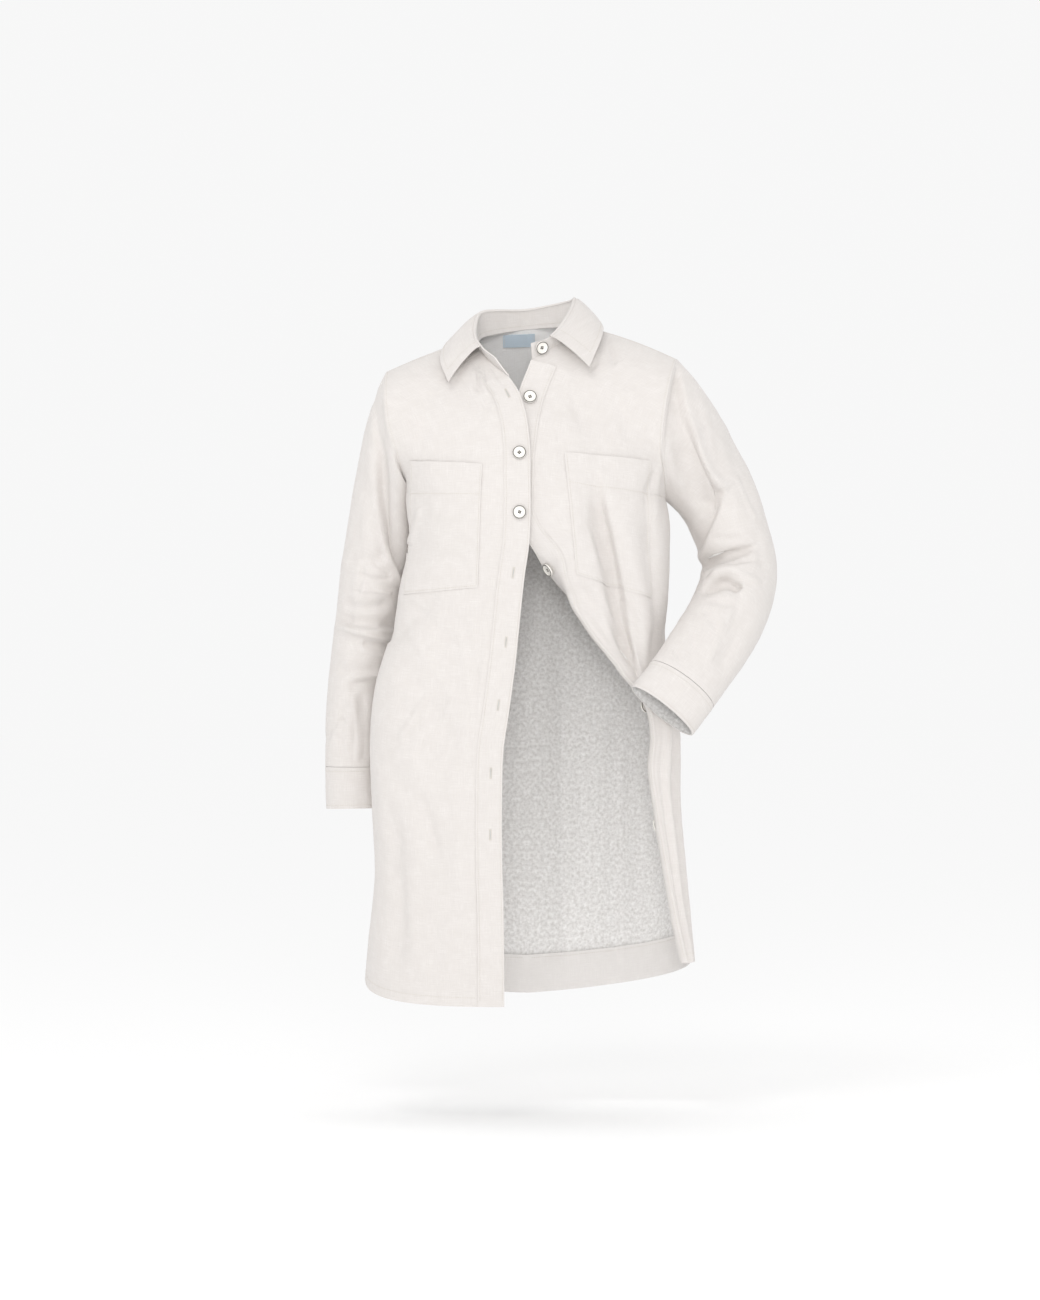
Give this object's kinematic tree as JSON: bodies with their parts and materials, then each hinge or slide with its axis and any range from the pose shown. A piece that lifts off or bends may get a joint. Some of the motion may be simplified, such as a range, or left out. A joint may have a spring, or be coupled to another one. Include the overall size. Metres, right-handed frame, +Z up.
{
  "type": "linen shirt dress",
  "caption": "Long-sleeved button-front linen shirt dress, worn open below the chest, with a spread collar, patch chest pockets, cuffs and a curved hem.",
  "frame": {"origin": "middle of the neck opening, at the height where the collar stand is sewn on", "axes": "+Z up, -Y the front, +X the wearer's left"},
  "size_m": [0.6171, 0.2723, 0.956],
  "materials": {
    "linen": "washed plain-weave linen, off-white",
    "label": "woven satin label, pale blue, bare",
    "button": "polished shell, natural white"
  },
  "bodies": {
    "root": {"front_right": "linen", "front_left": "linen", "back": "linen", "back_hem": "linen", "band_right": "linen", "band_left": "linen", "pocket_right": "linen", "pocket_left": "linen", "collar_stand": "linen", "collar": "linen", "sleeve_right": "linen", "sleeve_left": "linen", "cuff_right": "linen", "cuff_left": "linen", "label": "label", "button_1": "button", "button_2": "button", "button_3": "button", "button_4": "button", "button_5": "button", "button_6": "button", "button_7": "button", "button_8": "button", "button_9": "button", "button_cuff_right": "button", "button_cuff_left": "button"}
  },
  "joints": []
}
